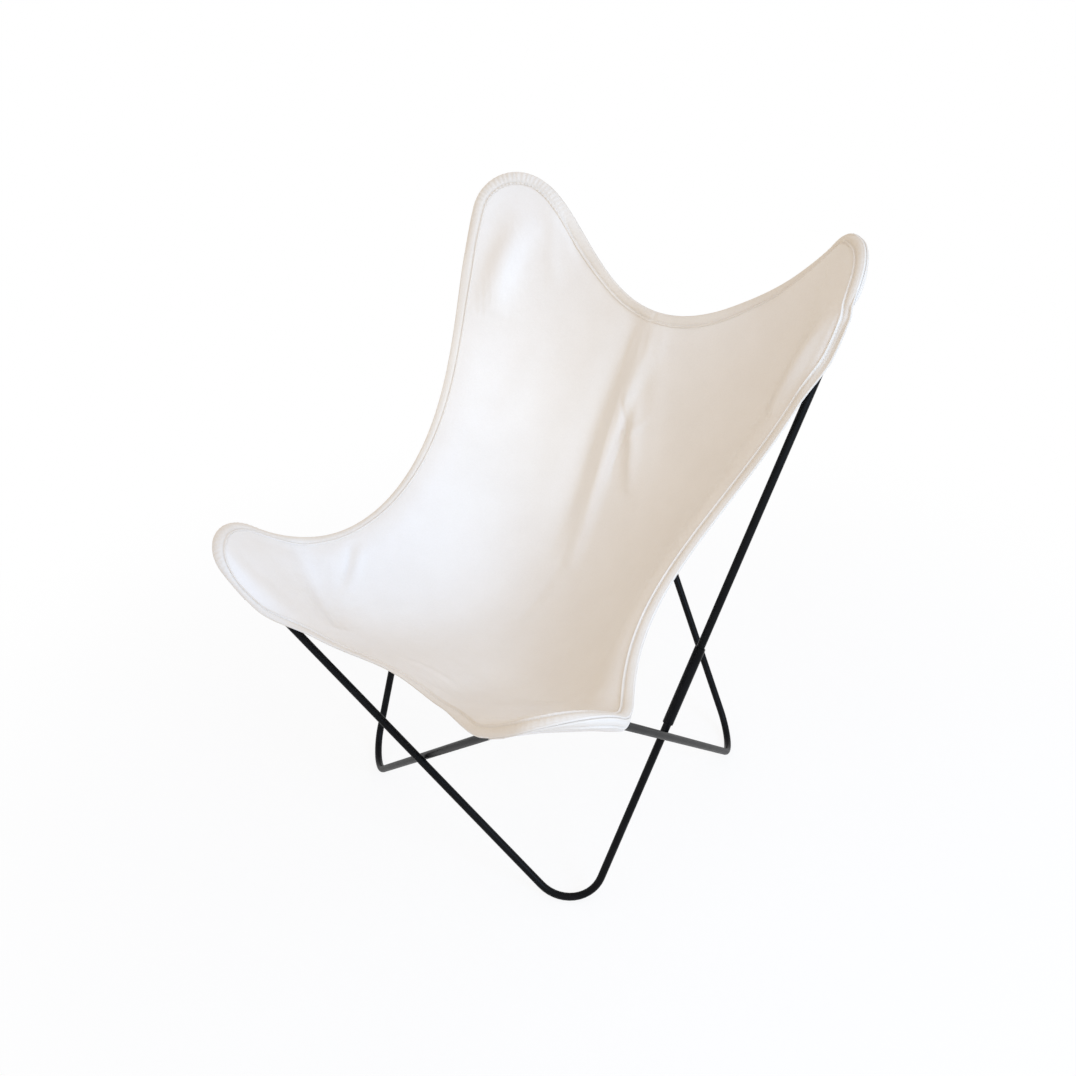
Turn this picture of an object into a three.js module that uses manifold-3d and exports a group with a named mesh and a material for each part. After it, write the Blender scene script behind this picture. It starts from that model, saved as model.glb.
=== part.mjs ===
// Butterfly sling chair. Two mirrored loops of steel rod cross at the front, the back and both sides.
// Each loop is a lower rod and a back rod, joined by two sleeves that slide up to free the joint.
// A cloth panel hangs on the loops' four tips by a pocket sewn under each of its corners.
// Millimetres. +Z is up, the sitter faces -Y, and +X is on the right of someone looking at the front.
import * as THREE from "three";
import { mergeVertices } from "three/addons/utils/BufferGeometryUtils.js";
import Module from "manifold-3d";

// Rods
const ROD_DIAMETER = 12;
const ROD_SIDES = 16;
const TOUCH_GAP = 0.4; // between two rods that touch where the loops cross
const BUTT_GAP = 0.6; // between the rod ends that meet inside a sleeve

// A loop's corners, where its straight runs would meet if they weren't rounded
const FRONT_TIP_X = 400;
const FRONT_TIP_Y = -377;
const FRONT_TIP_Z = 553;
const BACK_TIP_X = 378;
const BACK_TIP_Y = 356;
const BACK_TIP_Z = 1023;
const BACK_FOOT_X = 218;
const BACK_FOOT_Y = 230;
const FRONT_FOOT_Y = -226; // its X is worked out, so that the rods touch at the sides
const TIP_RADIUS = 61;
const FOOT_RADIUS = 56;
const TIP_STEPS = 18;
const FOOT_STEPS = 14;
const FOOT_FLAT = 0.5; // cut off each foot bend, so that it stands on a small flat

// Sleeves
const SLEEVE_LENGTH = 124;
const SLEEVE_WALL = 1.6;
const SLEEVE_FIT = 0.4; // all round the rod
const SLEEVE_ABOVE_CROSSING = 16;
const SLEEVE_CHAMFER = 0.5;
const SLEEVE_SIDES = 24;

// Cloth
const CLOTH = 2.4;
const CLOTH_GAP = 0.4; // between the cloth and the rod it hangs on
const SEAM_GAP = 0.4; // between the panel and a pocket's wall
const HEM = 14; // the panel's edge past the rod's centre line, round a tip
const PANEL_CELLS = 24;
const FRONT_POCKET_SEAM = 134; // sewn length on each side of a tip
const BACK_POCKET_SEAM = 110;

// The fold down the back, a valley with a ridge on its right, fading out at both ends
const FOLD_LENGTH = 430; // from the top edge, along the middle
const FOLD_OFF_MIDDLE = 52; // to the left, at the fold's deepest
const FOLD_SPACING = 28; // from the valley to the ridge
const FOLD_WIDTH = 16; // half the width of each
const FOLD_DEPTH = 5;
const FOLD_RIDGE = 3;

// How far round a tip, in degrees from its top, each edge of the panel follows the bend
const TOP_LEAVES = 21;
const FRONT_LEAVES = 57;
const SIDE_LEAVES_BACK = 72;
const SIDE_LEAVES_FRONT = 67;
// How far each edge then keeps the bend's direction
const TOP_HANDLE = 150;
const FRONT_HANDLE = 283;
const SIDE_HANDLE_BACK = 178;
const SIDE_HANDLE_FRONT = 158;
// The points that pull the edges in, from the nearest tip's corner: one at the top, one at the front
const TOP_PULL_FORWARD = 218;
const TOP_PULL_DOWN = 509;
const FRONT_PULL_BACK = 123;
const FRONT_PULL_DOWN = 93;
// Two on each side
const SIDE_BACK_PULL_IN = 109;
const SIDE_BACK_PULL_FORWARD = 225;
const SIDE_BACK_PULL_DOWN = 488;
const SIDE_FRONT_PULL_IN = 228;
const SIDE_FRONT_PULL_BACK = 263;
const SIDE_FRONT_PULL_DOWN = 101;
// And two that pull the seat's middle line down, between the front edge and the top edge
const SEAT_FRONT_PULL_BACK = 162;
const SEAT_FRONT_PULL_DOWN = 243;
const SEAT_BACK_PULL_FORWARD = 296;
const SEAT_BACK_PULL_DOWN = 853;

const wasm = await Module();
wasm.setup();

const fromFrontTip = (x, back, down) => new THREE.Vector3(x, FRONT_TIP_Y + back, FRONT_TIP_Z - down);
const fromBackTip = (x, forward, down) => new THREE.Vector3(x, BACK_TIP_Y - forward, BACK_TIP_Z - down);
const topPull = fromBackTip(0, TOP_PULL_FORWARD, TOP_PULL_DOWN);
const frontPull = fromFrontTip(0, FRONT_PULL_BACK, FRONT_PULL_DOWN);
const seatFrontPull = fromFrontTip(0, SEAT_FRONT_PULL_BACK, SEAT_FRONT_PULL_DOWN);
const seatBackPull = fromBackTip(0, SEAT_BACK_PULL_FORWARD, SEAT_BACK_PULL_DOWN);
const rodRadius = ROD_DIAMETER / 2;
const clothRise = rodRadius + CLOTH_GAP + CLOTH / 2; // the cloth's middle above a rod's centre line

// Vectors
const sum = (...vectors) => vectors.reduce((a, b) => a.clone().add(b));
const minus = (a, b) => a.clone().sub(b);
const times = (a, k) => a.clone().multiplyScalar(k);
const along = (a, b, distance) => sum(a, times(minus(b, a).normalize(), distance));
const crossed = (a, b) => new THREE.Vector3().crossVectors(a, b);

// A corner's bend. Angles count from its outermost point, positive towards the leg before it.
function bendAt(before, corner, after, radius) {
  const first = minus(before, corner).normalize();
  const second = minus(after, corner).normalize();
  const half = first.angleTo(second) / 2;
  const inward = sum(first, second).normalize();
  const out = times(inward, -1);
  const across = minus(first, second).normalize();
  const normal = crossed(out, across);
  normal.multiplyScalar(Math.sign(normal.z)); // at a tip this is the sitter's side
  return {
    centre: sum(corner, times(inward, radius / Math.sin(half))),
    out,
    across,
    normal,
    radius,
    turn: Math.PI / 2 - half,
  };
}

function onBend(bend, angle, radius = bend.radius, rise = 0) {
  const spoke = sum(
    times(bend.out, Math.cos(angle)),
    times(bend.across, Math.sin(angle)),
  );
  return sum(bend.centre, times(spoke, radius), times(bend.normal, rise));
}

// Shortest distance between two straight runs, and how far from the first run's start it lies
function runGap(a, b, c, d) {
  const u = minus(b, a).normalize();
  const v = minus(d, c).normalize();
  const normal = crossed(u, v);
  const from = minus(c, a);
  return {
    gap: Math.abs(from.dot(normal)) / normal.length(),
    at: crossed(from, v).dot(normal) / normal.lengthSq(),
  };
}

// The corners of one loop. side is 1 for the loop whose front tip is on the right, -1 for the other.
function loopCorners(side, frontFootX, frontFootZ, backFootZ, shift) {
  const place = (x, y, z) => new THREE.Vector3(side * x, y + side * shift, z);
  return {
    backTip: place(-BACK_TIP_X, BACK_TIP_Y, BACK_TIP_Z),
    frontFoot: place(-frontFootX, FRONT_FOOT_Y, frontFootZ),
    frontTip: place(FRONT_TIP_X, FRONT_TIP_Y, FRONT_TIP_Z),
    backFoot: place(BACK_FOOT_X, BACK_FOOT_Y, backFootZ),
  };
}

// How far each loop moves from the middle plane, so that two mirrored runs touch where they cross
function shiftFor(tip, foot) {
  const run = minus(tip, foot);
  return ((ROD_DIAMETER + TOUCH_GAP) / 2) * Math.hypot(1, run.y / run.z);
}

// Settles what depends on each other: the feet's corners, the loops' shift and the touch at the sides
function settleLoops() {
  let footX = BACK_FOOT_X;
  let frontZ = 0;
  let backZ = 0;
  let shift = 0;
  let loops = [];
  for (let round = 0; round < 60; round++) {
    loops = [1, -1].map((side) => loopCorners(side, footX, frontZ, backZ, shift));
    const [a, b] = loops;
    shift = Math.max(shiftFor(a.frontTip, a.frontFoot), shiftFor(a.backTip, a.backFoot));
    const bends = footBends(a);
    frontZ += rodRadius - FOOT_FLAT - lowest(bends.front);
    backZ += rodRadius - FOOT_FLAT - lowest(bends.back);
    const right = runGap(b.frontFoot, b.backTip, a.backFoot, a.frontTip).gap;
    const left = runGap(a.frontFoot, a.backTip, b.backFoot, b.frontTip).gap;
    footX += 0.8 * (Math.min(right, left) - ROD_DIAMETER - TOUCH_GAP);
  }
  return loops;
}

function footBends(loop) {
  return {
    front: bendAt(loop.backTip, loop.frontFoot, loop.frontTip, FOOT_RADIUS),
    back: bendAt(loop.frontTip, loop.backFoot, loop.backTip, FOOT_RADIUS),
  };
}

function tipBends(loop) {
  return {
    front: bendAt(loop.frontFoot, loop.frontTip, loop.backFoot, TIP_RADIUS),
    back: bendAt(loop.backFoot, loop.backTip, loop.frontFoot, TIP_RADIUS),
  };
}

function lowest(bend) {
  return bend.centre.z - bend.radius * Math.hypot(bend.out.z, bend.across.z);
}

// A rod's centre line: straight runs and bends, with rings only where the rod's shape needs them
class RodPath extends THREE.Curve {
  constructor(start, bends, end) {
    super();
    this.spans = [];
    let from = start;
    for (const { bend, steps } of bends) {
      const entry = onBend(bend, bend.turn);
      this.addStraight(from, entry);
      this.spans.push({
        steps,
        at: (k) => onBend(bend, bend.turn * (1 - 2 * k)),
      });
      from = onBend(bend, -bend.turn);
    }
    this.addStraight(from, end);
    this.rings = this.spans.reduce((total, span) => total + span.steps, 0);
  }

  addStraight(from, to) {
    this.spans.push({ steps: 1, at: (k) => from.clone().lerp(to, k) });
  }

  getPoint(t, target = new THREE.Vector3()) {
    let ring = t * this.rings;
    for (const span of this.spans) {
      if (ring <= span.steps) {
        return target.copy(span.at(ring / span.steps));
      }
      ring -= span.steps;
    }
    return target.copy(this.spans.at(-1).at(1));
  }

  getUtoTmapping(u) {
    return u;
  }
}

function rodGeometry(path) {
  const corners = [];
  for (let i = 0; i < ROD_SIDES; i++) {
    const angle = (2 * Math.PI * i) / ROD_SIDES;
    corners.push(new THREE.Vector2(Math.cos(angle), Math.sin(angle)).multiplyScalar(rodRadius));
  }
  const section = new THREE.Shape(corners);
  return new THREE.ExtrudeGeometry(section, { steps: path.rings, extrudePath: path });
}

// Joins and cuts
function solidOf(geometry) {
  const bare = new THREE.BufferGeometry();
  bare.setAttribute("position", geometry.getAttribute("position"));
  bare.setIndex(geometry.index);
  const merged = mergeVertices(bare, 1e-4);
  const mesh = new wasm.Mesh({
    numProp: 3,
    vertProperties: merged.attributes.position.array,
    triVerts: new Uint32Array(merged.index.array),
  });
  return new wasm.Manifold(mesh);
}

function geometryOf(solid) {
  const mesh = solid.getMesh();
  const geometry = new THREE.BufferGeometry();
  geometry.setAttribute("position", new THREE.BufferAttribute(mesh.vertProperties, 3));
  geometry.setIndex(new THREE.BufferAttribute(mesh.triVerts, 1));
  geometry.computeVertexNormals();
  return geometry;
}

function cutBelowFloor(geometry) {
  const wide = 4 * FRONT_TIP_X;
  const ground = new THREE.BoxGeometry(wide, wide, wide).translate(0, 0, -wide / 2);
  return geometryOf(solidOf(geometry).subtract(solidOf(ground)));
}

// A sleeve along +Y
function sleeveGeometry() {
  const inner = rodRadius + SLEEVE_FIT;
  const outer = inner + SLEEVE_WALL;
  const profile = [
    new THREE.Vector2(inner, 0),
    new THREE.Vector2(outer - SLEEVE_CHAMFER, 0),
    new THREE.Vector2(outer, SLEEVE_CHAMFER),
    new THREE.Vector2(outer, SLEEVE_LENGTH - SLEEVE_CHAMFER),
    new THREE.Vector2(outer - SLEEVE_CHAMFER, SLEEVE_LENGTH),
    new THREE.Vector2(inner, SLEEVE_LENGTH),
    new THREE.Vector2(inner, 0),
  ];
  return new THREE.LatheGeometry(profile, SLEEVE_SIDES);
}

// Cloth edges
const degrees = (angle) => (angle * Math.PI) / 180;

function onCurve(points, t) {
  let level = points;
  while (level.length > 1) {
    level = level.slice(1).map((point, i) => level[i].clone().lerp(point, t));
  }
  return level[0];
}

// One end of an edge: the tip's bend, the side it leaves on, its angle and its handle
function edgeEnd(bend, side, leaves, handle) {
  const angle = degrees(leaves);
  const rim = (a) => onBend(bend, side * a, TIP_RADIUS + HEM, clothRise);
  const away = sum(
    times(bend.out, -Math.sin(angle)),
    times(bend.across, side * Math.cos(angle)),
  );
  const arc = [];
  for (let i = 0; i < 12; i++) {
    arc.push(rim((angle * i) / 12));
  }
  const start = rim(angle);
  return { arc, start, next: sum(start, times(away, handle)) };
}

function curvePoints(control) {
  const points = [];
  for (let i = 0; i <= 60; i++) {
    points.push(onCurve(control, i / 60));
  }
  return points;
}

// A panel edge from the top of one tip to the top of the next, as points close together
function panelEdge(from, pulls, to) {
  const curve = curvePoints([from.start, from.next, ...pulls, to.next, to.start]);
  return [...from.arc, ...curve, ...to.arc.reverse()];
}

// The point at a distance along a row of points
function pointAlong(points, distance) {
  let left = distance;
  for (let i = 1; i < points.length; i++) {
    const step = points[i].distanceTo(points[i - 1]);
    if (left <= step) {
      return points[i - 1].clone().lerp(points[i], left / step);
    }
    left -= step;
  }
  return points.at(-1).clone();
}

function lengthOf(points) {
  return points.slice(1).reduce((total, point, i) => total + point.distanceTo(points[i]), 0);
}

// Where the panel's grid lines lie on an edge: closer together near the tips,
function lengthwiseShare(j) {
  const t = j / PANEL_CELLS;
  return (t + 0.5 - 0.5 * Math.cos(Math.PI * t)) / 2;
}

// and across the panel at its middle too, where the fold runs
function crosswiseShare(i) {
  const t = i / PANEL_CELLS;
  return t - Math.sin(4 * Math.PI * t) / (8 * Math.PI);
}

function gridPoints(edge, share) {
  const length = lengthOf(edge);
  const points = [];
  for (let i = 0; i <= PANEL_CELLS; i++) {
    points.push(pointAlong(edge, share(i) * length));
  }
  return points;
}

// How far the fold lifts the cloth, at a distance from the middle and one down from the top edge
function foldHeight(across, drop) {
  if (drop > FOLD_LENGTH) {
    return 0;
  }
  const swell = Math.sin((Math.PI * drop) / FOLD_LENGTH);
  const valley = (-FOLD_OFF_MIDDLE * (1 + swell)) / 2;
  const bell = (at) => Math.exp(-(((across - at) / FOLD_WIDTH) ** 2));
  return swell * (FOLD_RIDGE * bell(valley + FOLD_SPACING) - FOLD_DEPTH * bell(valley));
}

// The surface between the four edges, drawn to the seat's middle line, with the fold in it
function panelSurface(edges) {
  const [front, back] = [edges.front, edges.back].map((edge) => gridPoints(edge, crosswiseShare));
  const [left, right] = [edges.left, edges.right].map((edge) => gridPoints(edge, lengthwiseShare));
  const last = PANEL_CELLS;
  const rows = [];
  for (let j = 0; j <= last; j++) {
    const v = lengthwiseShare(j);
    const row = [];
    for (let i = 0; i <= last; i++) {
      const u = crosswiseShare(i);
      const lengthwise = front[i].clone().lerp(back[i], v);
      const crosswise = left[j].clone().lerp(right[j], u);
      const corners = front[0].clone().lerp(front[last], u);
      corners.lerp(back[0].clone().lerp(back[last], u), v);
      row.push(sum(lengthwise, crosswise).sub(corners));
    }
    rows.push(row);
  }
  const mid = last / 2;
  const seatLine = curvePoints([front[mid], seatFrontPull, seatBackPull, back[mid]]);
  const seat = gridPoints(seatLine, lengthwiseShare);
  rows.forEach((row, j) => {
    const move = minus(seat[j], row[mid]);
    row.forEach((point, i) => {
      const u = crosswiseShare(i);
      point.addScaledVector(move, (4 * u * (1 - u)) ** 2.5);
    });
  });
  return rows.map((row, j) => {
    const drop = (1 - lengthwiseShare(j)) * lengthOf(seatLine);
    return row.map((point, i) => {
      const across = Math.sign(i - mid) * point.distanceTo(row[mid]);
      return sum(point, times(surfaceNormal(rows, j, i), foldHeight(across, drop)));
    });
  });
}

function surfaceNormal(rows, j, i) {
  const last = rows.length - 1;
  const clampIn = (k) => Math.min(Math.max(k, 0), last);
  const corner = (j === 0 || j === last) && (i === 0 || i === last);
  const jj = corner ? Math.abs(j - 1) : j;
  const ii = corner ? Math.abs(i - 1) : i;
  const lengthwise = minus(rows[clampIn(jj + 1)][ii], rows[clampIn(jj - 1)][ii]);
  const crosswise = minus(rows[jj][clampIn(ii + 1)], rows[jj][clampIn(ii - 1)]);
  return crossed(crosswise, lengthwise).normalize();
}

// A closed sheet of the cloth's thickness round a grid of points
function sheetGeometry(rows) {
  const size = rows.length;
  const last = size - 1;
  const points = [];
  for (const face of [0.5, -0.5]) {
    rows.forEach((row, j) =>
      row.forEach((point, i) => {
        points.push(sum(point, times(surfaceNormal(rows, j, i), face * CLOTH)));
      }),
    );
  }
  const upper = (j, i) => j * size + i;
  const lower = (j, i) => size * size + j * size + i;
  const faces = [];
  const quad = (a, b, c, d) => faces.push(a, b, c, a, c, d);
  for (let j = 0; j < last; j++) {
    for (let i = 0; i < last; i++) {
      quad(upper(j, i), upper(j, i + 1), upper(j + 1, i + 1), upper(j + 1, i));
      quad(lower(j, i), lower(j + 1, i), lower(j + 1, i + 1), lower(j, i + 1));
    }
  }
  for (let k = 0; k < last; k++) {
    quad(lower(0, k), lower(0, k + 1), upper(0, k + 1), upper(0, k));
    quad(lower(last, k + 1), lower(last, k), upper(last, k), upper(last, k + 1));
    quad(lower(k + 1, 0), lower(k, 0), upper(k, 0), upper(k + 1, 0));
    quad(lower(k, last), lower(k + 1, last), upper(k + 1, last), upper(k, last));
  }
  const geometry = new THREE.BufferGeometry().setFromPoints(points);
  geometry.setIndex(faces);
  geometry.computeVertexNormals();
  return geometry;
}

// A pocket: a shallow tray under a tip, open at its mouth, walled up to the panel along its seam
function pocketGeometry(bend, sideEdge, endEdge, seamLength) {
  const across = crossed(bend.out, bend.normal);
  const flat = (point) => {
    const from = minus(point, bend.centre);
    return new THREE.Vector2(from.dot(across), from.dot(bend.out));
  };
  const seam = [];
  const steps = 12;
  for (let i = steps; i > 0; i--) {
    seam.push(flat(pointAlong(sideEdge, (seamLength * i) / steps)));
  }
  for (let i = 0; i <= steps; i++) {
    seam.push(flat(pointAlong(endEdge, (seamLength * i) / steps)));
  }
  const middle = new THREE.Vector2(0, 0);
  const inset = seam.map((point, i) => {
    const before = seam[Math.max(i - 1, 0)];
    const after = seam[Math.min(i + 1, seam.length - 1)];
    const run = after.clone().sub(before).normalize();
    const inward = new THREE.Vector2(-run.y, run.x);
    const toMiddle = middle.clone().sub(point);
    return point.clone().addScaledVector(inward, CLOTH * Math.sign(inward.dot(toMiddle)));
  });
  const past = (end, before) => end.clone().add(end.clone().sub(before).setLength(4 * CLOTH));
  const open = [past(inset[0], inset[1]), ...inset, past(inset.at(-1), inset.at(-2))];
  const under = rodRadius + CLOTH_GAP;
  const prism = (outline, low, high) => {
    const made = new THREE.ExtrudeGeometry(new THREE.Shape(outline), {
      depth: high - low,
      bevelEnabled: false,
    });
    return solidOf(made.translate(0, 0, low));
  };
  const tray = prism(seam, -under - CLOTH, under - SEAM_GAP).subtract(prism(open, -under, 2 * under));
  const place = new THREE.Matrix4().makeBasis(across, bend.out, bend.normal);
  place.setPosition(bend.centre);
  return geometryOf(tray).applyMatrix4(place);
}

// The part
const steel = new THREE.MeshStandardMaterial({ color: 0x16161a, metalness: 0.6, roughness: 0.4 });
const canvas = new THREE.MeshStandardMaterial({ color: 0xe6e0d6, metalness: 0, roughness: 0.8 });
const chair = new THREE.Group();

function addMesh(name, geometry, material) {
  const mesh = new THREE.Mesh(geometry, material);
  mesh.name = name;
  chair.add(mesh);
  return mesh;
}

function addSleeve(name, from, to) {
  const mesh = addMesh(name, sleeveGeometry(), steel);
  mesh.position.copy(from);
  mesh.quaternion.setFromUnitVectors(new THREE.Vector3(0, 1, 0), minus(to, from).normalize());
}

const loops = settleLoops();
const tips = loops.map(tipBends);

loops.forEach((loop, k) => {
  const other = loops[1 - k];
  const frontHand = k === 0 ? "right" : "left";
  const backHand = k === 0 ? "left" : "right";
  // Where each back leg's sleeve starts, measured up from its foot's corner
  const sideCross = runGap(loop.frontFoot, loop.backTip, other.backFoot, other.frontTip).at;
  const rearCross = runGap(loop.backFoot, loop.backTip, other.backFoot, other.backTip).at;
  const sideStart = sideCross + SLEEVE_ABOVE_CROSSING;
  const rearStart = rearCross + SLEEVE_ABOVE_CROSSING;
  const onSide = (distance) => along(loop.frontFoot, loop.backTip, distance);
  const onRear = (distance) => along(loop.backFoot, loop.backTip, distance);
  const butt = SLEEVE_LENGTH / 2;

  const feet = footBends(loop);
  const lower = new RodPath(
    onSide(sideStart + butt - BUTT_GAP / 2),
    [
      { bend: feet.front, steps: FOOT_STEPS },
      { bend: tips[k].front, steps: TIP_STEPS },
      { bend: feet.back, steps: FOOT_STEPS },
    ],
    onRear(rearStart + butt - BUTT_GAP / 2),
  );
  addMesh(`lower_rod_${frontHand}`, cutBelowFloor(rodGeometry(lower)), steel);

  const upper = new RodPath(
    onRear(rearStart + butt + BUTT_GAP / 2),
    [{ bend: tips[k].back, steps: TIP_STEPS }],
    onSide(sideStart + butt + BUTT_GAP / 2),
  );
  addMesh(`back_rod_${backHand}`, rodGeometry(upper), steel);

  addSleeve(`sleeve_${backHand}_side`, onSide(sideStart), loop.backTip);
  addSleeve(`sleeve_${backHand}_rear`, onRear(rearStart), loop.backTip);
});

// The first loop has the back left and front right tips, the second the other two.
const [[backLeft, frontRight], [backRight, frontLeft]] = tips.map((tip) => [tip.back, tip.front]);
const atTop = (tip) => edgeEnd(tip, 1, TOP_LEAVES, TOP_HANDLE);
const atFront = (tip) => edgeEnd(tip, 1, FRONT_LEAVES, FRONT_HANDLE);
const atSideBack = (tip) => edgeEnd(tip, -1, SIDE_LEAVES_BACK, SIDE_HANDLE_BACK);
const atSideFront = (tip) => edgeEnd(tip, -1, SIDE_LEAVES_FRONT, SIDE_HANDLE_FRONT);
const sidePulls = (side) => [
  fromFrontTip(side * (FRONT_TIP_X - SIDE_FRONT_PULL_IN), SIDE_FRONT_PULL_BACK, SIDE_FRONT_PULL_DOWN),
  fromBackTip(side * (BACK_TIP_X - SIDE_BACK_PULL_IN), SIDE_BACK_PULL_FORWARD, SIDE_BACK_PULL_DOWN),
];

const edges = {
  front: panelEdge(atFront(frontLeft), [frontPull], atFront(frontRight)),
  back: panelEdge(atTop(backLeft), [topPull], atTop(backRight)),
  left: panelEdge(atSideFront(frontLeft), sidePulls(-1), atSideBack(backLeft)),
  right: panelEdge(atSideFront(frontRight), sidePulls(1), atSideBack(backRight)),
};
addMesh("sling_panel", sheetGeometry(panelSurface(edges)), canvas);

// Each pocket's seam starts at the top of its tip, along the side edge and along the front or top edge.
const reversed = (edge) => edge.slice().reverse();
const addPocket = (place, ...seam) => addMesh(`pocket_${place}`, pocketGeometry(...seam), canvas);
addPocket("front_left", frontLeft, edges.left, edges.front, FRONT_POCKET_SEAM);
addPocket("front_right", frontRight, edges.right, reversed(edges.front), FRONT_POCKET_SEAM);
addPocket("back_left", backLeft, reversed(edges.left), edges.back, BACK_POCKET_SEAM);
addPocket("back_right", backRight, reversed(edges.right), reversed(edges.back), BACK_POCKET_SEAM);

// The part's origin is on the floor, under the middle of its bounding box.
const bounds = new THREE.Box3().setFromObject(chair);
const middle = bounds.getCenter(new THREE.Vector3());
chair.position.set(-middle.x, -middle.y, -bounds.min.z);
const part = new THREE.Group();
part.add(chair);

export default part;
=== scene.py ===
"""Looks of a butterfly sling chair: canvas sling, sewn pockets, edge binding, stitching and black rods.

The cloth is worked out in millimetres, from the part's sizes and from what the photograph shows of it, and is
then placed in the row frame in metres. The rods and sleeves show as the part's own solids.
"""

import bmesh
import bpy
import numpy as np
from mathutils import Matrix, Vector
from mathutils.bvhtree import BVHTree
from mathutils.kdtree import KDTree


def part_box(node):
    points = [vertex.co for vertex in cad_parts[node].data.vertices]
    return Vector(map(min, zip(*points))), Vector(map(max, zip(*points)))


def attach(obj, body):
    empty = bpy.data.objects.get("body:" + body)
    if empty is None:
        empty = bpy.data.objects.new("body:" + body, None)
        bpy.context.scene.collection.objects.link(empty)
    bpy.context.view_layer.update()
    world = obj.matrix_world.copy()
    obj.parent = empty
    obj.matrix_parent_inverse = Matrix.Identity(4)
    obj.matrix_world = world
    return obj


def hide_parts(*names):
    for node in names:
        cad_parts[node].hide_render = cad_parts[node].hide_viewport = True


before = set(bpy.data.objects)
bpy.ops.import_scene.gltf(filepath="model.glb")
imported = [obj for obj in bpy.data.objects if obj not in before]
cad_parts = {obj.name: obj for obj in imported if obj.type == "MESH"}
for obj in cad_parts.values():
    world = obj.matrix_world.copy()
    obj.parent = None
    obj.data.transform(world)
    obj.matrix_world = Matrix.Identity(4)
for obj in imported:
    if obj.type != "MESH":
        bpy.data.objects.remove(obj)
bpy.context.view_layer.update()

# Sizes that the part has too, in millimetres
ROD_DIAMETER = 12.0
TOUCH_GAP = 0.4
FRONT_TIP = (400.0, -377.0, 553.0)
BACK_TIP = (378.0, 356.0, 1023.0)
BACK_FOOT_X = 218.0
BACK_FOOT_Y = 230.0
FRONT_FOOT_Y = -226.0
TIP_RADIUS = 61.0
FOOT_RADIUS = 56.0
FOOT_FLAT = 0.5
SLEEVE_LENGTH = 124.0
SLEEVE_ABOVE_CROSSING = 16.0
CLOTH_RISE = 7.6  # the cloth's middle above a rod's centre line
HEM = 14.0  # the panel's edge past that line, round a tip
FRONT_POCKET_SEAM = 134.0
BACK_POCKET_SEAM = 110.0

# The panel's edges and middle line. At the back they follow the photograph more closely than the part does.
# Degrees from a tip's top at which an edge leaves the bend, and how far it keeps that direction
FRONT_END = (57.0, 283.0)
TOP_END = {"left": (21.0, 150.0), "right": (60.0, 60.0)}
SIDE_END_FRONT = (67.0, 158.0)
SIDE_END_BACK = {"left": (72.0, 178.0), "right": (60.0, 200.0)}
TOP_HEM = 13.0  # what the right tip's hem grows by towards the top edge
# Points that pull the edges and the seat's middle line
FRONT_PULL = (0.0, -254.0, 460.0)
TOP_PULL = (-30.0, 138.0, 545.0)
SIDE_PULL_FRONT = (172.0, -114.0, 452.0)
SIDE_PULL_BACK = {"left": (-292.0, 109.0, 535.0), "right": (272.0, 112.0, 522.0)}
SEAT_PULL_FRONT = (0.0, -215.0, 310.0)
SEAT_PULL_BACK = (0.0, 60.0, 170.0)
SEAT_PULL_POWER = 2.5  # how closely that line's pull keeps to the middle

# The fold down the back: a crest beside a hollow, each with its widths to the left and to the right
FOLD_LENGTH = 430.0
FOLD_OFF_MIDDLE = 46.0
FOLD_CREST_OFF = 28.0
FOLD_CREST = 13.0
FOLD_CREST_WIDTHS = (25.0, 12.0)
FOLD_TOP_SPREAD = (19.0, 150.0)  # of the crest's right side, and how far down it goes
FOLD_HOLLOW_OFF = -22.0
FOLD_HOLLOW = -10.0
FOLD_HOLLOW_WIDTHS = (28.0, 20.0)

# Steps of the curves and cells of the panel
ARC_STEPS = 24
CURVE_POINTS = 161
CREASE_CURVE_POINTS = 40
CREASE_POINTS = 33
CELLS_ACROSS = 190
CELLS_ALONG = 200
EDGE_CELLS = 9  # over which fold and creases fade out at the edge

# The cloth over the tips
CANVAS = 1.6
TIP_NORMAL_FADE = (20.0, 55.0)  # from a tip's top, where the grid's own normals take over from the tip's
TIP_NEAR_FADE = (220.0, 280.0)  # from the middle of a tip's bend, where the tip's hold on the cloth ends
TIP_SINK = 1.5  # how far the cloth sinks inside a tip's bend
TIP_SINK_EDGE = (4.0, 26.0)
TIP_SINK_FADE = (10.0, 120.0)
LEAST_REACH = 0.7 * HEM
# How far the edge hangs down past the rod, from a tip's side to its front or top, and between which angles
HANG = {"front": (4.0, 20.0), "back": (6.0, 5.0)}
HANG_ANGLES = {"front": (-55.0, 60.0), "back": (-60.0, 30.0)}
HANG_FADE = (22.0, 106.0)
FULL_HANG = 20.0  # at which the edge is turned straight down
# Below a tip's bend the edge may droop further: how far, and where that sets in and ends
LEG_HANG = {"back_right": 10.0}
LEG_HANG_FROM = (-30.0, 10.0)
LEG_HANG_TO = (55.0, 130.0)

# Edge binding
BAND_WIDTH = 17.5
BAND_LIFT = 1.15
BAND_PAST_EDGE = 0.9
INWARD_REACH = 31.0  # of the lines that the band lies on, from the edge
INWARD_STEP = 0.8
RUN_STATIONS = 4
NORMAL_STATIONS = 2
BAND_BURIED = -0.15  # height of what lies inside the cloth
GROOVE = 13.4  # of the band, from the edge
# Share by which the band is wider before a tip, as the rim runs, and past it
TIP_BAND = {"back_left": (0.35, 0.35), "front_left": (0.35, -0.4)}
TIP_BAND_TURN = (20.0, 115.0)
TIP_BAND_FADE = (110.0, 300.0)
TAPE_JOIN = (-2.0, 274.0, 702.0)
TAPE_JOIN_DIP = 0.9
TAPE_JOIN_WIDTH = 3.0
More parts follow.
